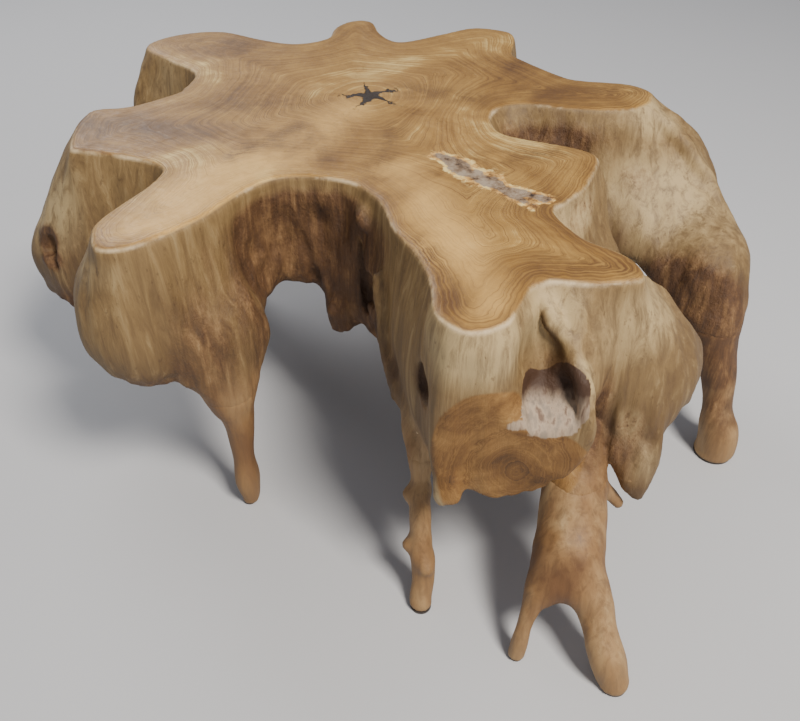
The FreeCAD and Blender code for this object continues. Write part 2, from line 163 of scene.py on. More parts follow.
# Rot holes: centre X, Y, Z and half sizes.
ROT_HOLES = {
    "front pocket": (158, -334, 352, 28, 36, 31),
    "left knot hole": (-444, -22, 323, 11, 14, 14),
    "small left knot hole": (-440, -30, 302, 7, 9, 8),
    "arch hole": (-22, -118, 322, 12, 20, 26),
    "side hollow": (30, -292, 338, 10, 17, 20),
}

# Thin crests and small lumps of the crown: centre lines with X, Y, Z and radius.
CRESTS = {
    "flange": [(137, -262, 446, 4), (156, -281, 415, 5), (173, -295, 388, 5), (185, -319, 366, 5),
               (192, -334, 345, 5), (195, -337, 315, 6), (190, -336, 285, 7), (174, -333, 252, 9)],
    "front knob": [(60, -336, 242, 13), (59, -341, 228, 16)],
    "lobe tip": [(268, -262, 262, 24), (266, -278, 230, 24), (271, -291, 200, 17), (276, -299, 176, 6)],
    "arch lump": [(-70, -66, 262, 20), (-66, -64, 234, 18)],
    "right lobe's ridge": [(341, 128, 436, 5), (364, 126, 417, 8), (398, 116, 386, 9),
                           (430, 96, 350, 10), (452, 70, 310, 9)],
    "arch knot": [(-30, -98, 418, 10), (-31, -103, 412, 8)],
    "strand in the arch": [(-20, -150, 372, 5), (-14, -166, 330, 8), (-6, -178, 290, 9), (8, -205, 250, 9)],
    "wall fold": [(-160, -85, 350, 6), (-172, -108, 300, 9), (-178, -128, 262, 10)],
}
# Long grooves cut into the crown, in the same form.
GROOVES = {
    "lobe hollow": [(203, -304, 322, 8), (213, -306, 288, 9), (226, -311, 250, 7),
                    (240, -314, 212, 4)],
    "lobe flute": [(232, -300, 318, 3), (248, -304, 270, 5), (262, -310, 225, 4)],
    "beside the knob": [(80, -350, 258, 3), (84, -348, 236, 7), (80, -344, 206, 9)],
    "behind the flange": [(129, -298, 432, 3), (132, -316, 408, 5), (137, -324, 384, 7)],
    "arch wall": [(-112, -62, 380, 2), (-106, -60, 340, 4), (-100, -56, 300, 3)],
    "arch corner": [(-38, -88, 385, 3), (-34, -94, 350, 6), (-30, -98, 290, 8)],
}

# The legs' centre lines, from inside the crown down to the sole: X, Y, Z and radius.
LEGS = {
    "left_leg": [[(-206, -140, 290, 40), (-206, -154, 235, 36), (-206, -159, 200, 31),
                  (-200, -161, 163, 22), (-201, -165, 97, 15.5), (-201, -169, 45, 15.5),
                  (-201, -172, 8, 11)]],
    "middle_leg": [[(-8, -120, 300, 15), (11, -190, 262, 16), (25, -238, 225, 17),
                    (32, -262, 205, 16.5), (32, -278, 163, 11.5), (33, -298, 114, 13),
                    (36, -318, 55, 14.5), (34, -336, 8, 13.5)],
                   [(33, -279, 158, 9), (19, -281, 151, 7)], [(32, -303, 92, 9), (18, -306, 85, 7)],
                   [(36, -316, 72, 9), (40, -330, 66, 6)]],
    "right_leg": [[(424, 10, 270, 48), (432, -8, 228, 40), (439, -24, 200, 34), (450, -40, 158, 27),
                   (460, -53, 118, 22), (464, -68, 84, 21), (468, -76, 58, 25), (473, -80, 36, 28),
                   (474, -81, 8, 28)]],
    "rear_left_leg": [[(-290, 280, 290, 60), (-296, 296, 200, 42), (-298, 304, 120, 31),
                       (-300, 310, 8, 26)]],
    "rear_right_leg": [[(105, 275, 290, 60), (112, 290, 200, 44), (126, 298, 120, 31),
                        (134, 304, 8, 26)]],
    "forked_leg": [
        [(206, -262, 245, 34), (206, -290, 196, 36), (204, -323, 150, 38), (201, -345, 132, 38),
         (196, -366, 112, 30)],
        [(190, -350, 124, 26), (172, -374, 100, 20), (160, -384, 84, 13.5), (152, -394, 57, 10.5),
         (148, -401, 26, 10.5), (146, -404, 6, 10)],
        [(210, -350, 126, 28), (222, -378, 100, 24), (229, -391, 85, 21), (234, -408, 66, 19),
         (243, -426, 40, 19.5), (254, -439, 8, 17.5)],
        [(226, -290, 186, 12), (246, -291, 172, 8), (263, -293, 150, 7)],
    ],
}
# The sawn face in elevation: middle X, Z and half width, half height of a dome and a low oval.
FACET_OVALS = [((90, 296), (52, 78)), ((128, 252), (82, 74))]
# Dark patches on the walls, partly weathered dark wood and partly painted shade in the arch, the rot holes,
# the pocket, under the right lobe and on the right leg below it: centre X, Y, Z, reach in each axis, and how
# dark.
DARK_WOOD_AND_SHADE = [
    (-92, -66, 300, 125, 90, 200, 1.7), (-40, -90, 285, 50, 60, 90, 1.5),
    (-165, -95, 280, 40, 60, 80, 0.9),
    (392, -28, 246, 62, 60, 46, 1.9), (428, -50, 212, 48, 45, 44, 1.4), (214, -294, 284, 20, 40, 54, 1.1),
    (160, -318, 372, 24, 30, 20, 0.9), (32, -290, 334, 14, 26, 22, 1.0), (205, 110, 405, 90, 30, 42, 0.8),
    (-290, -180, 250, 66, 50, 44, 0.75), (-432, -30, 218, 40, 50, 40, 1.0), (-287, 180, 330, 50, 60, 90, 0.6),
    (228, -262, 225, 34, 30, 40, 0.9), (-150, 330, 320, 60, 40, 100, 0.6),
    (-215, -185, 300, 46, 40, 80, 0.55),
    (10, -190, 270, 30, 60, 60, 0.5), (-442, -17, 331, 15, 15, 17, 2.0),
    (-441, -28, 311, 13, 14, 13, 2.0), (438, -68, 168, 60, 60, 62, 1.1),
    (448, -85, 100, 60, 60, 60, 0.6), (-235, -190, 270, 60, 40, 60, 0.5),
    (-400, -60, 330, 40, 50, 60, 0.3), (240, -300, 250, 40, 40, 40, 0.45),
]
# Pale patches on the walls, partly pale wood and partly painted light on the walls that face the key light,
# above the facet and on the right lobe, in the same form.
PALE_AND_LIT_WALLS = [
    (75, -335, 425, 70, 40, 42, 1.0), (150, -290, 425, 36, 40, 40, 1.0), (184, -318, 362, 14, 20, 40, 1.0),
    (250, -262, 400, 80, 60, 46, 0.6), (365, 70, 350, 90, 60, 70, 0.8), (345, 125, 430, 60, 30, 30, 0.9),
    (-430, -10, 370, 60, 60, 70, 0.7), (60, -343, 232, 18, 20, 22, 0.9), (270, -294, 225, 20, 20, 40, 0.7),
    (-320, -205, 415, 60, 40, 28, 0.5), (-345, 250, 410, 50, 60, 50, 0.45), (196, -140, 430, 50, 60, 40, 0.8),
    (18, -262, 225, 26, 40, 40, 0.5),
]
# Walls with chalky pits and scars, in the same form.
PITTED = [
    (330, 76, 366, 34, 36, 34, 0.8), (212, -98, 420, 36, 42, 26, 1.0), (256, -290, 268, 26, 30, 40, 0.7),
    (372, 50, 338, 30, 30, 24, 0.5), (58, -340, 224, 20, 20, 20, 1.0), (20, -262, 240, 22, 30, 30, 0.6),
]
# Bands on the top, in plan: from X, Y to X, Y, and half width.
GOLD_WOOD = [(-260, -178, -110, 40, 40), (-235, -110, -150, 0, 34), (8, -55, 62, -190, 32),
             (62, -190, 88, -300, 30), (-60, 105, -110, -20, 30)]
BROWN_WOOD = [(105, -30, 190, -10, 26), (100, -110, 190, -130, 22), (-330, 60, -240, 40, 28),
              (-230, 120, -130, 130, 22), (190, 160, 320, 170, 26), (20, 170, 110, 140, 22),
              (150, -240, 225, -245, 22), (30, -200, 55, -300, 16), (-290, 340, -220, 330, 20),
              (-120, 60, -190, -20, 14), (0, 60, -20, -60, 16)]
BARK = [(54, -16, 76, -42, 12), (76, -42, 104, -72, 17), (104, -72, 128, -96, 11), (128, -96, 165, -116, 9),
        (104, -78, 150, -128, 9)]
# How far a leg's sides spread where it grows out of the crown; the forked leg is fixed on bare.
LEG_FILLET = {"left_leg": 0.045, "middle_leg": 0.02, "right_leg": 0.05, "rear_left_leg": 0.05,
              "rear_right_leg": 0.05, "forked_leg": 0.0}


# ---------------------------------------------------------------- shapes as fields
# A field is negative inside the wood and positive outside, in metres.

def smooth_min(a, b, k):
    """The lower of two fields, rounded where they are within k of each other: min - k h^2 / 4."""
    if k <= 0:
        return np.minimum(a, b)
    h = np.maximum(k - np.abs(a - b), 0) / k
    return np.minimum(a, b) - h * h * k / 4


def smooth_max(a, b, k):
    """The higher of two fields, rounded in the same way."""
    return -smooth_min(-a, -b, k)


def through_points(points, samples, closed):
    """Catmull-Rom curve: each span is the cubic that leaves a point along the line joining its
    neighbours. Works on points of any number of columns."""
    p = np.asarray(points, float)
    if closed:
        before, after, beyond = np.roll(p, 1, 0), np.roll(p, -1, 0), np.roll(p, -2, 0)
    else:
        padded = np.vstack([2 * p[0] - p[1], p, 2 * p[-1] - p[-2]])
        before, p, after, beyond = padded[:-3], padded[1:-2], padded[2:-1], padded[3:]
    t = np.linspace(0, 1, samples, endpoint=False)[:, None, None]
    curve = 0.5 * (2 * p + (after - before) * t
                   + (2 * before - 5 * p + 4 * after - beyond) * t ** 2
                   + (3 * p - before - 3 * after + beyond) * t ** 3)
    curve = curve.transpose(1, 0, 2).reshape(-1, p.shape[1])
    return curve if closed else np.vstack([curve, after[-1]])


def outline_distance(outline, x, y):
    """Distance from each place to a closed outline, negative inside it, from its short chords."""
    curve = through_points(outline, 6, closed=True) * MM
    nearest = np.full(x.shape, FAR)
    inside = np.zeros(x.shape, bool)
    for (ax, ay), (bx, by) in zip(curve, np.roll(curve, -1, 0)):
        dx, dy = bx - ax, by - ay
        along = np.clip(((x - ax) * dx + (y - ay) * dy) / (dx * dx + dy * dy), 0, 1)
        nearest = np.minimum(nearest, (x - ax - along * dx) ** 2 + (y - ay - along * dy) ** 2)
        if ay != by:
            inside ^= ((ay > y) != (by > y)) & (x < dx * (y - ay) / dy + ax)
    return np.where(inside, -1, 1) * np.sqrt(nearest)


def level_weights(z):
    """Share of each outline at each height: a cubic between levels, sloped as their neighbours."""
    heights = np.array([height * MM for height, _ in LEVELS])
    values = np.eye(len(heights))
    slopes = np.gradient(values, heights, axis=0)
    z = np.clip(z, heights[0], heights[-1])
    low = np.clip(np.searchsorted(heights, z, side="right") - 1, 0, len(heights) - 2)
    span = (heights[low + 1] - heights[low])[:, None]
    t = ((z - heights[low]) / span[:, 0])[:, None]
    return ((2 * t ** 3 - 3 * t ** 2 + 1) * values[low] + (t ** 3 - 2 * t ** 2 + t) * span * slopes[low]
            + (3 * t ** 2 - 2 * t ** 3) * values[low + 1] + (t ** 3 - t ** 2) * span * slopes[low + 1])


def underside_height(x, y):
    """Height of the root's underside: the marks' heights averaged by bell-shaped weights."""
    total = np.full(x.shape, 0.12)
    height = total * UNDERSIDE_ELSEWHERE
    for mark_x, mark_y, mark_height, reach in UNDERSIDE:
        away = ((x / MM - mark_x) ** 2 + (y / MM - mark_y) ** 2) / reach ** 2
        weight = np.exp(-away)
        total += weight
        height += weight * mark_height
    return height / total * MM


def body_field(x, y, z):
    """The root without its legs, on the grid of three axes: the outlines' distances blended by
    height, then trimmed by the underside, the sawn facet, the top and the rot holes."""
    plan_x, plan_y = np.meshgrid(x, y, indexing="ij")
    plans = np.stack([outline_distance(outline, plan_x, plan_y) for _, outline in LEVELS])
    field = np.einsum("zl,lxy->xyz", level_weights(z), plans)
    field = smooth_max(field, underside_height(plan_x, plan_y)[..., None] - z, UNDER_ROUNDING)
    field = smooth_max(field, (FACET_FRONT - y)[None, :, None] + 0 * z, EDGE_ROUNDING)
    field = smooth_max(field, z[None, None, :] - TOP + 0 * field, RIM_ROUNDING)
    for name, hole in ROT_HOLES.items():
        centre, half = np.array(hole[:3]) * MM, np.array(hole[3:]) * MM
        scaled = (np.abs((x[:, None, None] - centre[0]) / half[0]) ** 3
                  + np.abs((y[None, :, None] - centre[1]) / half[1]) ** 3
                  + np.abs((z[None, None, :] - centre[2]) / half[2]) ** 3) ** (1 / 3)
        hollow = (1 - scaled) * half.min()
        if name == "front pocket":
            floor = centre[2] - half[2] + POCKET_RISE * (y - FACET_FRONT)
            hollow = np.minimum(hollow, z[None, None, :] - floor[None, :, None])
        field = smooth_max(field, hollow, EDGE_ROUNDING)
    return add_lines(field, x, y, z)


def branch_field(branches, x, y, z):
    """Tapered branches along smooth centre lines: the distance to each short chord, less the
    radius there, the lowest over all chords; branches of one leg join with a small fillet."""
    field = None
    for branch in branches:
        line = through_points(branch, 5, closed=False) * MM
        one = np.full(np.broadcast_shapes(x.shape, y.shape, z.shape), FAR)
        for start, end in zip(line[:-1], line[1:]):
            step = end - start
            along = ((x - start[0]) * step[0] + (y - start[1]) * step[1] + (z - start[2]) * step[2])
            along = np.clip(along / (step[:3] @ step[:3]), 0, 1)
            away = np.sqrt((x - start[0] - along * step[0]) ** 2 + (y - start[1] - along * step[1]) ** 2
                           + (z - start[2] - along * step[2]) ** 2)
            one = np.minimum(one, away - start[3] - along * step[3])
        field = one if field is None else smooth_min(field, one, 0.014)
    return field


def add_lines(field, x, y, z):
    """Raise the crests and cut the grooves, each only near its own centre line, then level the
    top again."""
    for lines, sign in ((CRESTS, 1), (GROOVES, -1)):
        for line in lines.values():
            marks = np.array(line) * MM
            reach = marks[:, 3].max() + 0.022
            low, high = marks[:, :3].min(0) - reach, marks[:, :3].max(0) + reach
            xs, ys, zs = (slice(*np.searchsorted(axis, (a, b)))
                          for axis, a, b in zip((x, y, z), low, high))
            if xs.start == xs.stop or ys.start == ys.stop or zs.start == zs.stop:
                continue
            one = branch_field([line], x[xs, None, None], y[None, ys, None], z[None, None, zs])
            here = field[xs, ys, zs]
            if sign > 0:
                field[xs, ys, zs] = smooth_min(here, one, 0.012)
            else:
                field[xs, ys, zs] = smooth_max(here, -one, 0.007)
    return smooth_max(field, z[None, None, :] - TOP + 0 * field, 0.003)


# ---------------------------------------------------------------- from a field to a mesh

def axes_between(low, high, cell):
    """Three axes of evenly spaced samples that cover a box."""
    return [np.arange(a, b + cell, cell) for a, b in zip(low, high)]


def crossing_points(field, cells):
    """One point in each cell that the surface passes: the mean of where it cuts the cell's edges."""
    total = np.zeros((len(cells), 3))
    count = np.zeros(len(cells))
    for axis in range(3):
        for u in (0, 1):
            for v in (0, 1):
                corner = np.zeros(3, int)
                corner[(axis + 1) % 3], corner[(axis + 2) % 3] = u, v
                step = np.eye(3, dtype=int)[axis]
                here = field[tuple((cells + corner).T)]
                there = field[tuple((cells + corner + step).T)]
                cuts = (here < 0) != (there < 0)
                share = np.where(cuts, here / np.where(cuts, here - there, 1), 0)
                total += cuts[:, None] * (corner + share[:, None] * step)
                count += cuts
    return cells + total / count[:, None]


def surface_of(field, axes, cell):
    """The field's zero surface as points and quads: a point in each cell that it passes, and a
    quad round each grid edge that it cuts, turned to face out of the wood."""
    inside = field < 0
    corners = [inside[i:i - 1 or None, j:j - 1 or None, k:k - 1 or None]
               for i in (0, 1) for j in (0, 1) for k in (0, 1)]
    filled = sum(corner.astype(int) for corner in corners)
    passed = (filled > 0) & (filled < 8)
    cells = np.argwhere(passed)
    number = np.full(passed.shape, -1)
    number[passed] = np.arange(len(cells))
    quads = []
    for axis in range(3):
        u, v = (axis + 1) % 3, (axis + 2) % 3
        low, high = [slice(1, -1)] * 3, [slice(1, -1)] * 3
        low[axis], high[axis] = slice(0, -1), slice(1, None)
        starts, ends = inside[tuple(low)], inside[tuple(high)]
        offset = np.ones(3, int)
        offset[axis] = 0
        edges = np.argwhere(starts != ends) + offset
        outward = starts[starts != ends]
        du, dv = np.eye(3, dtype=int)[u], np.eye(3, dtype=int)[v]
        ring = [number[tuple((edges - a * du - b * dv).T)] for a, b in ((0, 0), (1, 0), (1, 1), (0, 1))]
        ring = np.stack(ring, 1)
        quads.append(np.where(outward[:, None], ring, ring[:, ::-1]))
    low_corner = np.array([axis[0] for axis in axes])
    return low_corner + crossing_points(field, cells) * cell, np.vstack(quads)


def corner_weights(t):
    """The eight corners of a grid box, each with its weight at the places t inside the box."""
    for i in (0, 1):
        for j in (0, 1):
            for k in (0, 1):
                weight = np.abs(1 - i - t[:, 0]) * np.abs(1 - j - t[:, 1]) * np.abs(1 - k - t[:, 2])
                yield i, j, k, weight


def sample(values, axes, cell, points):
    """Values of a grid at any points, read linearly between its samples."""
    low_corner = np.array([axis[0] for axis in axes])
    place = np.clip((points - low_corner) / cell, 0, np.array(values.shape) - 1.001)
    base = place.astype(int)
    return sum(weight * values[base[:, 0] + i, base[:, 1] + j, base[:, 2] + k]
               for i, j, k, weight in corner_weights(place - base))


def slope(field, axes, cell, points):
    """Unit direction in which the field grows, at each point."""
    steps = np.eye(3) * cell * 0.75
    change = [sample(field, axes, cell, points + step) - sample(field, axes, cell, points - step)
              for step in steps]
    change = np.stack(change, 1)
    return change / np.maximum(np.linalg.norm(change, axis=1, keepdims=True), 1e-9)


def relax(points, quads, share):
    """Move each point part of the way to the mean of its neighbours along the quads' edges."""
    ends = np.vstack([quads[:, (a, (a + 1) % 4)] for a in range(4)])
    count = np.bincount(ends[:, 0], minlength=len(points))
    mean = [np.bincount(ends[:, 0], points[ends[:, 1], axis], minlength=len(points)) / count
            for axis in range(3)]
    return points + share * (np.stack(mean, 1) - points)


def carve(field, axes, cell):
    """Mesh points, quads and outward directions of a field, evened out and drawn back onto it."""
    points, quads = surface_of(field, axes, cell)
    for _ in range(2):
        points = relax(points, quads, 0.5)
        direction = slope(field, axes, cell, points)
        off = np.clip(sample(field, axes, cell, points), -cell, cell)
        points = points - direction * off[:, None]
    return points, quads, slope(field, axes, cell, points)


def lattice_noise(points, size, seed):
    """Smooth random values from -1 to 1: a table of random numbers at the corners of boxes of the
    given size, repeated through space and read between corners with an eased weight."""
    side = NOISE_SIDE
    table = np.random.default_rng(seed).uniform(-1, 1, (side, side, side))
    place = points / np.asarray(size) + 200.0
    base = np.floor(place).astype(int)
    t = place - base
    return sum(weight * table[(base[:, 0] + i) % side, (base[:, 1] + j) % side, (base[:, 2] + k) % side]
               for i, j, k, weight in corner_weights(t * t * (3 - 2 * t)))


def make_piece(name, points, quads, tints):
    """A smooth-shaded mesh object with one named number per point for each tint."""
    mesh = bpy.data.meshes.new(name)
    mesh.from_pydata(points, [], quads)
    mesh.polygons.foreach_set("use_smooth", np.ones(len(quads), bool))
    for tint, values in tints.items():
        layer = mesh.attributes.new(tint, "FLOAT", "POINT")
        layer.data.foreach_set("value", values.astype(np.float32))
    mesh.update()
    piece = bpy.data.objects.new(name, mesh)
    bpy.context.scene.collection.objects.link(piece)
    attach(piece, "root")
    return piece


def ease(low, high, value):
    """0 below low, 1 above high, and a smooth S between."""
    t = np.clip((value - low) / (high - low), 0, 1)
    return t * t * (3 - 2 * t)


def near(points, centre, reach):
    """A bell round a place given in mm: 1 at its centre, fading over its reach in each axis."""
    away = (points / MM - np.array(centre)) / np.array(reach)
    return np.exp(-(away ** 2).sum(1))


def openness(field, axes, cell, points, direction, reach):
    """How open a place is: the field a little way out from the surface over that way, 0 to 1."""
    return np.clip(sample(field, axes, cell, points + direction * reach) / reach, 0, 1)


# ---------------------------------------------------------------- the root crown and its legs

def leg_box(leg):
    """The box of a leg's CAD node, with room for knobs and for the fillet at its top."""
    low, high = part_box(leg)
    room = np.array([0.03, 0.03, 0.018])
    return np.array(low) - room, np.array(high) + room


def crown_grid():
    """Axes that cover the crown, down to the tip of the right-front lobe."""
    low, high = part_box("root_crown")
    low, high = np.array(low) - 0.03, np.array(high) + 0.02
    low[2] = min(mark[2] for mark in UNDERSIDE) * MM - 0.015
    return axes_between(low, high, CELL)


def crown_field(x, y, z):
    """The root with the upper ends of its legs grown out of it, cut off at the joint plane."""
    body = body_field(x, y, z)
    whole = body.copy()
    for leg, branches in LEGS.items():
        ends = np.array([row[:2] for branch in branches for row in branch if row[2] > 190]) * MM
        xs = slice(*np.searchsorted(x, (ends[:, 0].min() - 0.11, ends[:, 0].max() + 0.11)))
        ys = slice(*np.searchsorted(y, (ends[:, 1].min() - 0.11, ends[:, 1].max() + 0.11)))
        upper = branch_field(branches, x[xs, None, None], y[None, ys, None], z[None, None, :])
        joined = smooth_min(whole[xs, ys], upper, LEG_FILLET[leg])
        whole[xs, ys] = np.minimum(whole[xs, ys], np.maximum(joined, JOINT - z))
    return whole


def wall_share(points):
    """1 on the walls, 0 on the flat top, rising over the first few centimetres below the rim."""
    return ease(0.002, 0.030, TOP - points[:, 2])


def weather(points, outward, closed_in):
    """Push the wood's surface in and out along its own direction: broad swells, flutes that run
    down the walls, a coarse crumble where the root is dark or closed in, and torn lower edges."""
    swell = lattice_noise(points, (0.075, 0.075, 0.11), 1) * 0.0052
    flutes = lattice_noise(points, (0.019, 0.019, 0.13), 2) * 0.0024
    ripple = lattice_noise(points, (0.009, 0.009, 0.06), 3) * 0.0007
    crumbling = np.maximum(closed_in, dark_and_shade_share(points))
    crumble = lattice_noise(points, (0.014, 0.014, 0.030), 4) * 0.005 * crumbling
    push = wall_share(points) * (swell + flutes + ripple + crumble)
    under_tip = near(points, (262, -285, 235), (34, 30, 62))
    groove = np.abs(lattice_noise(points, (0.010, 0.03, 0.075), 5))
    push += under_tip * (groove - 0.35) * 0.016
    torn = ease(-0.15, -0.6, outward[:, 2]) * ease(0.30, 0.26, points[:, 2])
    push += torn * (lattice_noise(points, (0.022, 0.022, 0.03), 8) * 0.0065
                    + lattice_noise(points, (0.010, 0.010, 0.014), 9) * 0.003)
    behind_facet = ease(0.0, 0.006, points[:, 1] - FACET_FRONT - 0.001)
    jagged = near(points, (155, -338, 352), (48, 16, 48)) * behind_facet
    push += jagged * lattice_noise(points, (0.008, 0.02, 0.034), 7) * 0.0024
    chipped = near(points, (-436, -28, 222), (40, 40, 26))
    push += chipped * lattice_noise(points, (0.012, 0.012, 0.014), 6) * 0.009
    push *= 1 - branch_share(points) * ease(0.235, 0.212, points[:, 2])
    return points + outward * push[:, None]


def growth_share(points):
    """Growth age of the wood, 0 at the pith and 1 at the rim: rings are round near the pith and
    follow the lobes near the rim, as distance to the pith over that plus distance to the rim."""
    spacing = 0.008
    x = np.arange(-0.55, 0.55, spacing)
    y = np.arange(-0.50, 0.52, spacing)
    plan = outline_distance(RIM, *np.meshgrid(x, y, indexing="ij"))
    to_rim = sample(plan[..., None].repeat(2, 2), [x, y, np.array([0.0])], spacing,
                    np.column_stack([points[:, :2], 0 * points[:, 0]]))
    to_pith = np.hypot(points[:, 0] - PITH[0], points[:, 1] - PITH[1])
    return to_pith / (to_pith + np.maximum(-to_rim, 0) + 1e-6)


def band(points, lines):
    """A soft band round each plan line from A to B: the highest over the lines of
    exp(-(distance to the line / width) squared), in mm."""
    share = np.zeros(len(points))
    for ax, ay, bx, by, width in lines:
        dx, dy = bx - ax, by - ay
        px, py = points[:, 0] / MM - ax, points[:, 1] / MM - ay
        along = np.clip((px * dx + py * dy) / (dx * dx + dy * dy), 0, 1)
        away = np.hypot(px - along * dx, py - along * dy)
        share = np.maximum(share, np.exp(-(away / width) ** 2))
    return share


def branch_share(points):
    """1 where a leg grows out of the crown, fading over the few centimetres above the joint."""
    share = np.zeros(len(points))
    for branches in LEGS.values():
        x, y, _, radius = min(branches[0], key=lambda row: abs(row[2] - 200))
        away = np.hypot(points[:, 0] / MM - x, points[:, 1] / MM - y) / (radius + 26)
        share = np.maximum(share, np.exp(-away ** 6))
    return share * ease(0.272, 0.212, points[:, 2])


def patch_share(points, patches):
    """The highest of the patches' bells at each point, each held to 1."""
    share = np.zeros(len(points))
    for x, y, z, rx, ry, rz, amount in patches:
        share = np.maximum(share, np.minimum(amount * near(points, (x, y, z), (rx, ry, rz)), 1))
    return share


def dark_and_shade_share(points):
    """1 in the dark patches of weathered wood and painted shade, fading at their edges and over the last
    centimetres to the rim.
    """
    return patch_share(points, DARK_WOOD_AND_SHADE) * ease(0.002, 0.040, TOP - points[:, 2])


def crown_tints(points, outward, closed_in):
    """The numbers per point that the crown's material reads: the growth age, how closed in a place is, which
    the material paints as shade, and the shares of the facet, the pocket and each kind of wood, the dark
    share holding painted shade and the pale share painted light as well."""
    oval = np.zeros(len(points))
    for middle, half in FACET_OVALS:
        away = (points[:, [0, 2]] / MM - middle) / half
        oval = np.maximum(oval, ease(1.06, 0.94, np.hypot(away[:, 0], away[:, 1])))
    hole = np.array(ROT_HOLES["front pocket"])
    inner = (np.abs((points / MM - hole[:3]) / (hole[3:] + 1.5)) ** 3).sum(1) ** (1 / 3)
    pocket = ease(1.14, 1.03, inner)
    pocket = np.maximum(pocket, 0.9 * near(points, (122, -341, 331), (15, 9, 7)))
    pocket = np.maximum(pocket, 0.75 * near(points, (158, -341, 321), (34, 9, 7)))
    facet = ease(0.052, 0.034, points[:, 1] - FACET_FRONT) * ease(-0.10, -0.42, outward[:, 1])
    facet = facet * oval * (1 - ease(0.3, 0.7, pocket))
    facet = facet * (1 - near(points, (57, -342, 222), (17, 14, 22)))
    # Dark wood and painted shade, stronger on walls that face forward
    forward = ease(0.15, -0.3, outward[:, 1])
    dark = dark_and_shade_share(points) * (0.45 + 0.55 * forward)
    return {"growth": growth_share(points), "hollow_shade": closed_in, "facet": facet,
            "pocket": pocket, "dark": dark, "branch": branch_share(points),
            "gold": band(points, GOLD_WOOD), "brown": band(points, BROWN_WOOD),
            "bark": band(points, BARK), "pale": patch_share(points, PALE_AND_LIT_WALLS),
            "pitted": patch_share(points, PITTED)}


def make_crown():
    """The root crown: its field carved to a mesh, weathered below its level top, and tinted."""
    axes = crown_grid()
    field = crown_field(*axes)
    points, quads, outward = carve(field, axes, CELL)
    narrow = openness(field, axes, CELL, points, outward, 0.03)
    wide = openness(field, axes, CELL, points, outward, 0.09)
    # How closed in each place is: the material paints shade from it, and the weathering crumbles the wood by
    # it
    closed_in = 1 - 0.5 * (narrow + wide)
    shaped = weather(points, outward, closed_in)
    piece = make_piece("root_crown_wood", shaped, quads, crown_tints(points, outward, closed_in))
    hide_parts("root_crown")
    return piece


def knots(points):
    """Swells on the branches: a few bumps of about a centimetre, and a fine lengthwise ripple."""
    return (lattice_noise(points, (0.030, 0.030, 0.045), 11) * 0.0028
            + lattice_noise(points, (0.007, 0.007, 0.050), 12) * 0.0006)


def make_leg(leg):
    """One leg: the branch and its fillet with the crown, lapped up inside the crown and drawn in
    there, clear of the crown below the joint, and cut off flat at the sole."""
    low, high = leg_box(leg)
    axes = axes_between(low, high, LEG_CELL)
    x, y, z = axes
    branch = branch_field(LEGS[leg], x[:, None, None], y[None, :, None], z[None, None, :])
    body = body_field(x, y, z)
    filleted = np.maximum(smooth_min(body, branch, LEG_FILLET[leg]), branch - FILLET_REACH)
    field = filleted - SLEEVE + 0.35 * np.maximum(z - JOINT - LEG_DRAWN_IN, 0)
    field = np.maximum(field, LEG_CLEARANCE - np.where(z > JOINT, 1.0, body))
    field = np.maximum(np.maximum(field, z - JOINT - LEG_LAP), SOLE - z)
    points, quads, outward = carve(field, axes, LEG_CELL)
    middle = ease(0.0, 0.012, points[:, 2] - SOLE) * ease(0.0, 0.03, JOINT - points[:, 2])
    shaped = points + outward * (knots(points) * middle)[:, None]
    # Dark patches on the legs: dark wood, and painted shade where the right lobe shades the right leg
    tints = {"rubbed": ease(0.12, 0.02, points[:, 2]), "dark": dark_and_shade_share(points)}
    piece = make_piece(leg + "_wood", shaped, quads, tints)
    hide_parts(leg)
    return piece


# ---------------------------------------------------------------- material recipes

def node(tree, kind, settings=None, **inputs):
    """Add a shader node; an input given as another node's output is linked, else set. An input
    goes by its name, or by its number as at0, at1 and so on."""
    made = tree.nodes.new(kind)
    for name, value in (settings or {}).items():
        setattr(made, name, value)
    for name, value in inputs.items():
        key = int(name[2:]) if name.startswith("at") else name.replace("_", " ")
        socket = made.inputs[key]
        if isinstance(value, bpy.types.NodeSocket):
            tree.links.new(value, socket)
        else:
            socket.default_value = value
    return made


def arithmetic(tree, operation, a, b=0.0, clamp=False):
    """One Math node."""
    made = node(tree, "ShaderNodeMath", {"operation": operation, "use_clamp": clamp}, at0=a, at1=b)
    return made.outputs[0]


def times(tree, a, b):
    """The product of two numbers."""
    return arithmetic(tree, "MULTIPLY", a, b)


def plus(tree, a, b, share=None):
    """The sum of two numbers, or of the first and a share of the second."""
    return arithmetic(tree, "ADD", a, b if share is None else times(tree, b, share))


def minus(tree, a, b):
    """The first number less the second."""
    return arithmetic(tree, "SUBTRACT", a, b)


def vector(tree, operation, a, b):
    """One Vector Math node."""
    return node(tree, "ShaderNodeVectorMath", {"operation": operation}, at0=a, at1=b).outputs[0]


def coordinate(tree, place, axis):
    """One coordinate of a place: 0, 1 or 2 for X, Y or Z."""
    return node(tree, "ShaderNodeSeparateXYZ", None, Vector=place).outputs[axis]


def blend(tree, share, a, b):
    """One colour Mix node; a colour given as numbers gets its fourth number here."""
    a, b = [side if isinstance(side, bpy.types.NodeSocket) else (*side, 1) for side in (a, b)]
    return node(tree, "ShaderNodeMix", {"data_type": "RGBA"}, at0=share, at6=a, at7=b).outputs[2]


def grain(tree, place, stretch, scale, detail=4.0, roughness=0.55, distortion=0.0):
    """A Noise pattern on stretched coordinates, as one number."""
    made = node(tree, "ShaderNodeTexNoise", None, Vector=vector(tree, "MULTIPLY", place, stretch),
                Scale=scale, Detail=detail, Roughness=roughness, Distortion=distortion)
    return made.outputs[0]


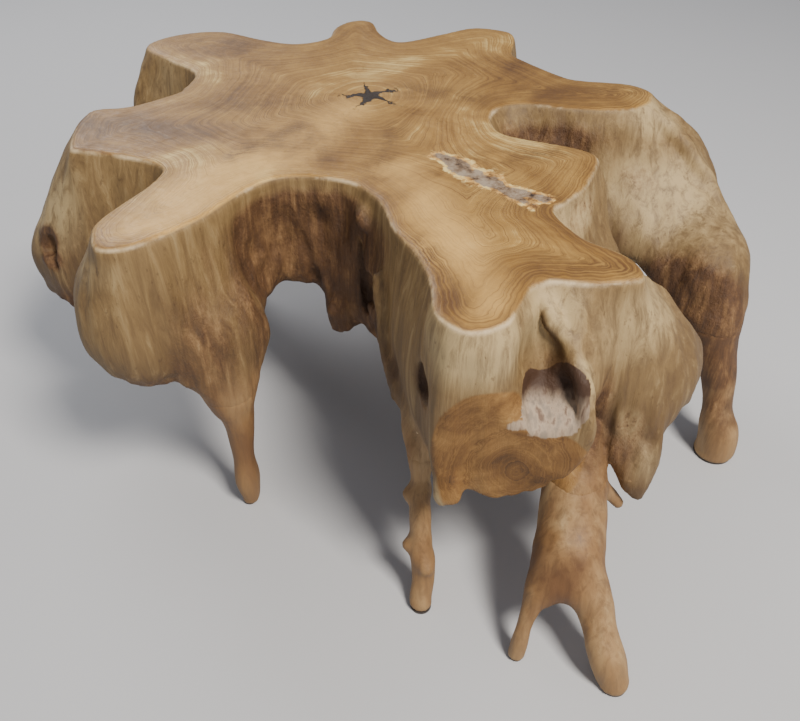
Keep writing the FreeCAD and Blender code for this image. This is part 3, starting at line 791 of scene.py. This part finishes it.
def steps(tree, value, stops):
    """A colour ramp from number and colour pairs."""
    ramp = node(tree, "ShaderNodeValToRGB", None, Fac=value)
    while len(ramp.color_ramp.elements) < len(stops):
        ramp.color_ramp.elements.new(0.5)
    for element, (position, colour) in zip(ramp.color_ramp.elements, stops):
        element.position = position
        element.color = (*colour, 1.0)
    return ramp.outputs[0]


def rise(tree, value, low, high):
    """0 at low, 1 at high, straight between and held outside."""
    made = node(tree, "ShaderNodeMapRange", {"clamp": True}, Value=value, From_Min=low, From_Max=high)
    return made.outputs[0]


def tint(tree, name):
    """A named number of the piece's points."""
    return node(tree, "ShaderNodeAttribute", {"attribute_name": name}).outputs["Fac"]


def new_material(name):
    """A material with its node tree, its main shader and the place in the object's own frame."""
    material = bpy.data.materials.new(name)
    material.use_nodes = True
    tree = material.node_tree
    place = node(tree, "ShaderNodeTexCoord").outputs["Object"]
    return material, tree, tree.nodes["Principled BSDF"], place


def surface(tree, shader, colour, rough, relief=None, strength=0.0, depth=0.0):
    """Link a shader's colour and roughness, and its relief where there is one."""
    tree.links.new(colour, shader.inputs["Base Color"])
    tree.links.new(rough, shader.inputs["Roughness"])
    if relief is not None:
        raised = node(tree, "ShaderNodeBump", None, Height=relief, Strength=strength, Distance=depth)
        tree.links.new(raised.outputs[0], shader.inputs["Normal"])


EVEN = (1, 1, 1)                        # a grain that is not stretched
HONEY = (0.25, 0.126, 0.025)
STRAW = (0.42, 0.238, 0.057)
BRIGHT_STRAW = (1.0, 0.77, 0.31)
GOLD = (0.74, 0.44, 0.125)
RING_BROWN = (0.095, 0.042, 0.010)
RING_LINE = (0.14, 0.062, 0.016)
# painted shade that stands in for the depth of the star crack
CRACK_SHADE_BLACK = (0.012, 0.007, 0.004)
WALL_TAN = (0.235, 0.146, 0.055)
WALL_BROWN = (0.095, 0.051, 0.019)
WALL_PALE = (0.48, 0.350, 0.172)
PIT_BROWN = (0.058, 0.026, 0.01)
# painted shade in the hollows, in the pocket and in the dark patches
SHADE_BROWN = (0.050, 0.021, 0.008)
AMBER = (0.15, 0.068, 0.015)
SILVER = (0.25, 0.192, 0.137)
BARK_GREY = (0.36, 0.28, 0.20)
# the pale rim line: painted highlight and wear
RIM_HIGHLIGHT_AND_WEAR = (0.60, 0.455, 0.265)
FIBRE_BROWN = (0.083, 0.034, 0.011)
RUBBED_WOOD = (0.44, 0.275, 0.12)
CRACK_ARMS = 5


def top_colour(tree, place):
    """Sanded end grain: fine growth rings over honey, golden bands, brown patches, the bark seam,
    and the star crack at the pith."""
    age = plus(tree, tint(tree, "growth"), grain(tree, place, EVEN, 9.0), 0.11)
    along_age = node(tree, "ShaderNodeCombineXYZ", None, X=age).outputs[0]
    wide_rings = grain(tree, along_age, EVEN, 38.0, 2.0)
    fine_rings = grain(tree, along_age, EVEN, 190.0, 3.0, 0.75)
    cloud = grain(tree, place, EVEN, 6.5, 5.0, 0.6, 0.6)
    tone = plus(tree, plus(tree, times(tree, cloud, 0.55), wide_rings, 0.22), fine_rings, 0.23)
    ground = steps(tree, tone, [(0.38, RING_BROWN), (0.46, HONEY), (0.55, STRAW), (0.66, BRIGHT_STRAW)])
    frayed = plus(tree, rise(tree, cloud, 0.30, 0.62), 0.35)
    golden = rise(tree, times(tree, tint(tree, "gold"), frayed), 0.10, 1.15)
    ground = blend(tree, times(tree, golden, 0.85), ground, GOLD)
    patches = rise(tree, grain(tree, place, EVEN, 26.0, 6.0, 0.72), 0.38, 0.54)
    brown = times(tree, tint(tree, "brown"), patches)
    crowded = times(tree, brown, rise(tree, fine_rings, 0.62, 0.44))
    ground = blend(tree, times(tree, crowded, 0.95), ground, RING_BROWN)
    line = rise(tree, fine_rings, 0.47, 0.37)
    clear_of_gold = minus(tree, 0.8, times(tree, golden, 0.45))
    ground = blend(tree, times(tree, line, clear_of_gold), ground, RING_LINE)
    ground = lay_bark(tree, place, ground)
    crack = star_crack(tree, place)
    # The star crack painted near black: painted shade standing in for its depth
    return blend(tree, crack, ground, CRACK_SHADE_BLACK), fine_rings, crack


def lay_bark(tree, place, ground):
    """The bark seam over the top: grey bark, with crumbly wood along its ragged edges."""
    speck = grain(tree, place, EVEN, 75.0, 4.0, 0.7)
    ragged = plus(tree, times(tree, speck, 0.8), grain(tree, place, EVEN, 34.0, 3.0), 1.3)
    edge = plus(tree, tint(tree, "bark"), ragged)
    crumbly = times(tree, rise(tree, edge, 1.30, 1.45), rise(tree, tint(tree, "bark"), 0.04, 0.25))
    rough_wood = steps(tree, speck, [(0.36, (0.16, 0.07, 0.02)), (0.50, (0.78, 0.44, 0.12)),
                                     (0.60, BRIGHT_STRAW)])
    ground = blend(tree, times(tree, crumbly, 0.8), ground, rough_wood)
    bark = steps(tree, speck, [(0.34, (0.02, 0.012, 0.008)), (0.44, (0.20, 0.13, 0.075)),
                               (0.62, BARK_GREY)])
    return blend(tree, rise(tree, edge, 1.66, 1.76), ground, bark)


def star_crack(tree, place):
    """1 in the star crack: five tapering arms, where the distance from an arm's middle line,
    radius times |sin(5/2 angle)| over 5/2, is less than a width that shrinks outwards."""
    away = vector(tree, "SUBTRACT", place, (PITH[0], PITH[1], TOP))
    x, y = coordinate(tree, away, 0), coordinate(tree, away, 1)
    radius = arithmetic(tree, "SQRT", plus(tree, times(tree, x, x), times(tree, y, y)))
    angle = times(tree, arithmetic(tree, "ARCTAN2", y, x), CRACK_ARMS / 2)
    swing = plus(tree, angle, grain(tree, place, EVEN, 48.0, 4.0, 0.6), 3.2)
    off_line = arithmetic(tree, "ABSOLUTE", arithmetic(tree, "SINE", swing))
    side = times(tree, off_line, times(tree, radius, 2 / CRACK_ARMS))
    width = times(tree, rise(tree, radius, 0.046, 0.002), 0.0058)
    return rise(tree, minus(tree, width, side), -0.0004, 0.0006)


def wall_colour(tree, place):
    """Long grain on the walls: tan with brown patches, pale patches that are partly painted light, fine dark
    fibres that run down the wood, and chalky scars in the pitted patches."""
    fibres = grain(tree, place, (1, 1, 0.09), 85.0, 6.0, 0.7, 0.5)
    patches = grain(tree, place, (1, 1, 0.42), 10.0, 7.0, 0.62, 0.8)
    low = rise(tree, plus(tree, coordinate(tree, place, 2), patches, 0.34), 0.56, 0.40)
    ground = blend(tree, times(tree, low, 0.8), WALL_TAN, WALL_BROWN)
    # Pale patches: pale wood, and painted light on the walls that face the key
    pale = rise(tree, plus(tree, tint(tree, "pale"), patches, 0.9), 0.60, 1.15)
    streak = rise(tree, fibres, 0.54, 0.36)
    light = rise(tree, fibres, 0.54, 0.70)
    pits = rise(tree, grain(tree, place, (1, 1, 0.5), 130.0, 3.0, 0.7), 0.37, 0.31)
    for share, amount, colour in ((pale, 0.88, WALL_PALE), (streak, 0.62, WALL_BROWN),
                                  (light, 0.35, WALL_PALE), (pits, 0.4, PIT_BROWN)):
        ground = blend(tree, times(tree, share, amount), ground, colour)
    chalky = rise(tree, plus(tree, tint(tree, "pitted"), patches, 0.9), 0.80, 1.25)
    scars = steps(tree, grain(tree, place, (1, 1, 0.7), 80.0, 5.0, 0.75),
                  [(0.37, (0.072, 0.032, 0.013)), (0.43, (0.302, 0.187, 0.086)), (0.58, WALL_PALE)])
    return blend(tree, times(tree, chalky, 0.8), ground, scars), fibres


def facet_colour(tree, place):
    """The sawn facet: amber end grain with fine rings round the branch's own centre."""
    from_centre = vector(tree, "SUBTRACT", place, (0.128, FACET_FRONT, 0.262))
    squashed = vector(tree, "MULTIPLY", from_centre, (1.0, 0.3, 0.75))
    away = node(tree, "ShaderNodeVectorMath", {"operation": "LENGTH"}, at0=squashed).outputs[1]
    cloud = grain(tree, place, EVEN, 17.0, 5.0, 0.62, 0.8)
    age = node(tree, "ShaderNodeCombineXYZ", None, X=plus(tree, away, cloud, 0.035)).outputs[0]
    rings = grain(tree, age, EVEN, 420.0, 3.0, 0.7)
    tone = plus(tree, times(tree, cloud, 0.62), rings, 0.38)
    return steps(tree, tone, [(0.34, (0.047, 0.019, 0.004)), (0.46, AMBER), (0.57, (0.259, 0.132, 0.035)),
                              (0.70, (0.373, 0.228, 0.083))])


def darken(tree, place, colour, fibres):
    """Dark wood and painted shade laid over a colour where the dark tint says, with a frayed edge."""
    frayed = grain(tree, place, (1, 1, 0.3), 24.0, 6.0, 0.7)
    dark = rise(tree, plus(tree, tint(tree, "dark"), frayed, 0.9), 0.62, 1.06)
    mottled = plus(tree, times(tree, fibres, 0.6), grain(tree, place, (1, 1, 0.6), 45.0, 5.0, 0.7), 0.4)
    dark_wood_and_shade = steps(tree, mottled, [(0.36, SHADE_BROWN), (0.50, (0.108, 0.048, 0.017)),
                                      (0.60, (0.216, 0.112, 0.043)), (0.68, (0.374, 0.238, 0.115))])
    return blend(tree, times(tree, dark, 0.94), colour, dark_wood_and_shade), dark


def lay_facet(tree, place, colour, fibres):
    """The sawn facet over the walls, with an edge frayed along the fibres."""
    share = tint(tree, "facet")
    frayed = rise(tree, plus(tree, share, fibres, 0.5), 0.45, 0.85)
    oval = times(tree, frayed, rise(tree, share, 0.02, 0.3))
    return blend(tree, oval, colour, facet_colour(tree, place))


def lay_pocket(tree, place, colour):
    """Shredded grey wood in the front pocket, with painted shade towards its top and its back."""
    shreds = grain(tree, place, (1.5, 1, 0.07), 80.0, 4.0, 0.6)
    silver = steps(tree, shreds, [(0.34, (0.15, 0.090, 0.055)), (0.47, (0.38, 0.28, 0.19)),
                                  (0.62, SILVER)])
    # Painted shade under the pocket's top and at its back
    inward = minus(tree, coordinate(tree, place, 1), FACET_FRONT)
    raised = plus(tree, plus(tree, coordinate(tree, place, 2), inward, 0.5), shreds, 0.02)
    silver = blend(tree, rise(tree, raised, 0.360, 0.378), silver, SHADE_BROWN)
    share = rise(tree, plus(tree, tint(tree, "pocket"), shreds, 0.8), 0.75, 0.95)
    return blend(tree, share, colour, silver)


def lay_hollow_shade(tree, colour, fibres):
    """Painted shade: dark brown where the root is closed in, sparing the pocket and the roots of the legs."""
    hollow_shade = rise(tree, plus(tree, tint(tree, "hollow_shade"), fibres, 0.25), 0.50, 1.0)
    spared = arithmetic(tree, "MAXIMUM", tint(tree, "pocket"), tint(tree, "branch"))
    hollow_shade = arithmetic(tree, "MULTIPLY", hollow_shade, minus(tree, 0.85, spared), True)
    return blend(tree, hollow_shade, colour, SHADE_BROWN)


def lay_rim_highlight_and_wear(tree, place, drop, colour):
    """A pale line in patches, a few millimetres below the rim on its bend: painted highlight, and wear."""
    patchy = rise(tree, grain(tree, place, EVEN, 11.0, 6.0, 0.7), 0.47, 0.60)
    rim_line = times(tree, rise(tree, drop, 0.0012, 0.0030), rise(tree, drop, 0.0068, 0.0040))
    return blend(tree, times(tree, times(tree, rim_line, patchy), 0.8), colour, RIM_HIGHLIGHT_AND_WEAR)


def crown_material():
    """Teak of the crown: top, walls, facet, pocket, painted shade in the hollows, and a pale rim line of
    painted highlight and wear, in one material.
    """
    material, tree, shader, place = new_material("teak_crown_finish")
    top, rings, crack = top_colour(tree, place)
    wall, fibres = wall_colour(tree, place)
    wall = blend(tree, tint(tree, "branch"), wall, branch_colour(tree, place)[0])
    # Dark wood and painted shade over the walls
    wall, dark = darken(tree, place, wall, fibres)
    drop = minus(tree, TOP, coordinate(tree, place, 2))
    sanded = rise(tree, drop, 0.0042, 0.0018)
    colour = blend(tree, sanded, wall, top)
    colour = lay_facet(tree, place, colour, fibres)
    colour = lay_pocket(tree, place, colour)
    # Painted shade in the hollows
    colour = lay_hollow_shade(tree, colour, fibres)
    # Painted highlight and wear along the rim
    colour = lay_rim_highlight_and_wear(tree, place, drop, colour)
    rough = blend(tree, sanded, (0.60, 0.60, 0.60), (0.40, 0.40, 0.40))
    rough = blend(tree, rise(tree, fibres, 0.3, 1.2), rough, (0.85, 0.85, 0.85))
    crumbs = grain(tree, place, (1, 1, 0.6), 140.0, 5.0, 0.75)
    wall_relief = plus(tree, fibres, crumbs, plus(tree, times(tree, dark, 2.2), 0.25))
    top_relief = minus(tree, times(tree, rings, 0.35), times(tree, crack, 4.0))
    surface(tree, shader, colour, rough, blend(tree, sanded, wall_relief, top_relief), 0.65, 0.0022)
    return material


def branch_colour(tree, place):
    """Reddish tan branch wood with long dark fibres over paler and darker patches."""
    fibres = grain(tree, place, (1, 1, 0.07), 105.0, 6.0, 0.68, 0.5)
    patches = grain(tree, place, (1, 1, 0.22), 20.0, 5.0, 0.55, 0.3)
    ground = steps(tree, patches, [(0.30, (0.148, 0.068, 0.024)), (0.46, (0.242, 0.127, 0.046)),
                                   (0.60, (0.348, 0.21, 0.089)), (0.72, (0.449, 0.307, 0.153))])
    streak = rise(tree, fibres, 0.55, 0.36)
    return blend(tree, times(tree, streak, 0.5), ground, FIBRE_BROWN), fibres


def branch_material():
    """Teak of the legs, paler where the feet are rubbed."""
    material, tree, shader, place = new_material("teak_branch_finish")
    colour, fibres = branch_colour(tree, place)
    colour = blend(tree, times(tree, tint(tree, "rubbed"), 0.25), colour, RUBBED_WOOD)
    # Dark wood and painted shade, the right lobe's shadow on the right leg
    colour = darken(tree, place, colour, fibres)[0]
    surface(tree, shader, colour, rise(tree, fibres, -0.8, 1.3), fibres, 0.5, 0.0014)
    return material


def plain_material(name, colour, metallic, roughness, speckle):
    """A plain finish whose colour varies a little over small patches."""
    material, tree, shader, place = new_material(name)
    patches = grain(tree, place, EVEN, 180.0)
    darker = tuple(0.6 * c for c in colour)
    mixed = blend(tree, times(tree, rise(tree, patches, 0.4, 0.7), speckle), colour, darker)
    shader.inputs["Metallic"].default_value = metallic
    rough = rise(tree, patches, 0.5 - 1.2 * roughness, 0.5 + 0.8 * (1.4 - roughness))
    surface(tree, shader, mixed, rough)
    return material


def finish_hardware():
    """Materials for the CAD nodes that stay: dowels, screws, washers, nails and glides."""
    steel = plain_material("zinc_steel_finish", (0.62, 0.63, 0.62), 1.0, 0.4, 0.5)
    dowel = plain_material("dowel_wood_finish", (0.66, 0.47, 0.27), 0.0, 0.6, 0.6)
    plastic = plain_material("glide_plastic_finish", (0.045, 0.035, 0.03), 0.0, 0.5, 0.4)
    finishes = {"_dowel": dowel, "_coach_screw": steel, "_washer": steel, "_nail": steel,
                "_glide": plastic}
    for name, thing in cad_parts.items():
        for ending, finish in finishes.items():
            if name.endswith(ending):
                thing.data.materials.clear()
                thing.data.materials.append(finish)


# ---------------------------------------------------------------- floor, lights and camera

def make_floor():
    """A plain pale floor."""
    mesh = bpy.data.meshes.new("floor")
    half = 9.0
    mesh.from_pydata([(-half, -half, 0), (half, -half, 0), (half, half, 0), (-half, half, 0)], [],
                     [(0, 1, 2, 3)])
    floor = bpy.data.objects.new("floor", mesh)
    bpy.context.scene.collection.objects.link(floor)
    material, _, shader, _ = new_material("pale_floor")
    shader.inputs["Base Color"].default_value = (0.52, 0.52, 0.53, 1)
    shader.inputs["Roughness"].default_value = 0.9
    mesh.materials.append(material)


def area_light(name, place, aim, size, power, colour=(1, 1, 1)):
    """A square soft light at a place, turned to face another."""
    light = bpy.data.lights.new(name, "AREA")
    light.size = size
    light.energy = power
    light.color = colour
    lamp = bpy.data.objects.new(name, light)
    lamp.location = place
    toward = np.array(aim) - np.array(place)
    lamp.rotation_euler = (math.atan2(math.hypot(toward[0], toward[1]), -toward[2]), 0,
                           math.atan2(toward[1], toward[0]) - math.pi / 2)
    bpy.context.scene.collection.objects.link(lamp)


def make_lights():
    """Soft studio light: a key from the front on the right, a weak fill, and a dim cool sky."""
    area_light("key", (1.1, -1.5, 2.7), (0, 0, 0.3), 0.7, 138, (1.0, 0.95, 0.88))
    area_light("back", (-1.4, 1.9, 2.2), (0, 0, 0.3), 1.4, 44)
    world = bpy.data.worlds.new("studio")
    bpy.context.scene.world = world
    world.use_nodes = True
    world.node_tree.nodes["Background"].inputs[0].default_value = (0.86, 0.90, 1.0, 1)
    world.node_tree.nodes["Background"].inputs[1].default_value = 0.34


def make_camera():
    """The camera stands in front of the table at chest height and looks down on it."""
    camera = bpy.data.cameras.new("camera")
    camera.sensor_width = 36
    camera.lens = 36
    viewer = bpy.data.objects.new("camera", camera)
    viewer.location = (0.008, -0.878, 0.900)
    degrees_down = 42
    viewer.rotation_euler = (math.radians(90 - degrees_down), 0, 0)
    bpy.context.scene.collection.objects.link(viewer)
    bpy.context.scene.camera = viewer


make_camera()
make_lights()
make_floor()
crown = make_crown()
crown.data.materials.append(crown_material())
branch_finish = branch_material()
for leg_name in LEGS:
    make_leg(leg_name).data.materials.append(branch_finish)
finish_hardware()
